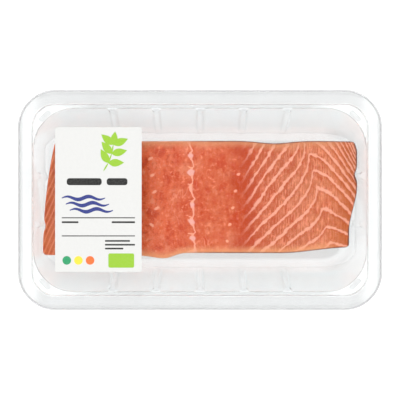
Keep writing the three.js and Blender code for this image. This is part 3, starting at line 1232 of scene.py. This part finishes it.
card_shape = laid_card("label", LABEL_CORNER, 5)
finish_piece("label_card", card_shape, make_paper(), "label", shade=False)

# %% [markdown]
# ## Marks for the label
#
# Every mark is a bar or a flat outline, given in millimetres from the card's middle. It is raised from just
# under the card's upper face to a few hundredths of a millimetre over it. Marks that cross are lifted by a
# hair more, one after the other, so that no two faces lie in one plane.

# %% Marks for the label
def add_bar(ink, left, bottom, width, height, corner=0.3):
    """A bar with rounded corners."""
    low = [LABEL_MIDDLE[0] + left, LABEL_MIDDLE[1] + bottom, INK_FOOT]
    high = [low[0] + width, low[1] + height, INK_TOP]
    join_mesh(ink, rounded_card(low, high, corner, 4))


def add_outline(ink, points, lift=0.0):
    """A flat mark inside an outline of points, lifted over marks that it crosses."""
    mark = bmesh.new()
    verts = [mark.verts.new((LABEL_MIDDLE[0] + x, LABEL_MIDDLE[1] + y, INK_FOOT)) for x, y in points]
    face = mark.faces.new(verts)
    face.normal_update()
    if face.normal.z > 0:
        face.normal_flip()
    raised = bmesh.ops.extrude_face_region(mark, geom=[face])["geom"]
    tops = [item for item in raised if isinstance(item, bmesh.types.BMVert)]
    bmesh.ops.translate(mark, vec=(0, 0, INK_TOP - INK_FOOT + lift), verts=tops)
    bmesh.ops.recalc_face_normals(mark, faces=mark.faces)
    join_mesh(ink, mark)


def add_dot(ink, x, y, radius):
    steps = [2 * math.pi * i / 28 for i in range(28)]
    add_outline(ink, [(x + radius * math.cos(a), y + radius * math.sin(a)) for a in steps])


def add_leaf(ink, x, y, length, width, turn, lift=0.0):
    """A pointed leaf from its stalk end, turned by an angle in degrees."""
    angle = math.radians(turn)
    outline = []
    for i in range(24):
        share = i / 12
        along = share if share <= 1 else 2 - share
        side = 1 if share <= 1 else -1
        across = side * width / 2 * math.sin(math.pi * along ** 0.8)
        reach = along * length
        right = reach * math.cos(angle) - across * math.sin(angle)
        up = reach * math.sin(angle) + across * math.cos(angle)
        outline.append((x + right, y + up))
    add_outline(ink, outline, lift)


def add_wave(ink, left, middle, width, height, thickness, swings):
    """A wave line with even thickness from above."""
    steps = 48
    upper = []
    lower = []
    for i in range(steps + 1):
        share = i / steps
        x = left + width * share
        y = middle + height * math.sin(2 * math.pi * swings * share)
        taper = thickness * (0.25 + 0.75 * math.sin(math.pi * share))
        upper.append((x, y + taper / 2))
        lower.append((x, y - taper / 2))
    add_outline(ink, lower + upper[::-1])


# %% [markdown]
# ## The label's print
#
# The print is plain: a sprig of leaves, two heavy bars, three wave lines, thin rules with rows of small bars,
# three dots and a green block. Each ink is one joined mesh.

# %% The label's print
LEFT_EDGE = -22.0
STALK = [(3.0, 17.0), (6.0, 22.0), (8.0, 27.5), (9.0, 33.0)]
LEAF = (9.5, 4.6)
LIFTS = (0.016, 0.004, 0.008)


def print_green(ink):
    for row, ((x0, y0), (x1, y1)) in enumerate(zip(STALK, STALK[1:])):
        turn = math.degrees(math.atan2(y1 - y0, x1 - x0))
        length = math.hypot(x1 - x0, y1 - y0)
        lift = LIFTS[0] * row
        add_leaf(ink, x0, y0, length * 1.15, 0.9, turn, lift)
        add_leaf(ink, x1, y1, *LEAF, turn - 58, lift + LIFTS[1])
        add_leaf(ink, x1, y1, *LEAF, turn + 60, lift + LIFTS[2])
    add_leaf(ink, *STALK[-1], 8.0, 4.2, 82, 0.052)
    add_bar(ink, 6.0, -41.0, 15.5, 8.6, 1.0)


def print_dark(ink):
    for left, width in ((-19.0, 21.0), (5.0, 12.5)):
        add_bar(ink, left, 8.6, width, 4.2, 1.6)


def print_navy(ink):
    for row in range(3):
        add_wave(ink, LEFT_EDGE + 2.4 * row, 0.9 - 3.7 * row, 26.0, 0.9, 2.4, 2)


def print_grey(ink):
    for bottom in (-11.3, -22.2):
        add_bar(ink, LEFT_EDGE, bottom, 44.0, 0.6, 0.1)
    for left, width in ((LEFT_EDGE, 10.0), (8.0, 14.0)):
        add_bar(ink, left, -14.2, width, 1.1)
    for row, width in enumerate((15.0, 18.0, 11.0)):
        add_bar(ink, 4.0, -25.4 - 2.3 * row, width, 1.0)


def print_dot(ink, x):
    add_dot(ink, x, -36.6, 2.6)


def print_ink(piece, ink_name, colour, draw, *numbers):
    """Draws all the marks of one ink into one mesh and finishes it."""
    ink = bmesh.new()
    draw(ink, *numbers)
    finish_piece(piece, ink, make_ink(ink_name + " ink", colour), shade=False)


print_ink("print_green", "green", (136, 178, 44), print_green)
print_ink("print_dark", "dark", (26, 26, 25), print_dark)
print_ink("print_navy", "navy", (40, 50, 118), print_navy)
print_ink("print_grey", "grey", (40, 40, 39), print_grey)
print_ink("print_dot_teal", "teal", (38, 140, 92), print_dot, -19.0)
print_ink("print_dot_yellow", "yellow", (246, 200, 60), print_dot, -12.0)
print_ink("print_dot_orange", "orange", (226, 104, 48), print_dot, -5.0)
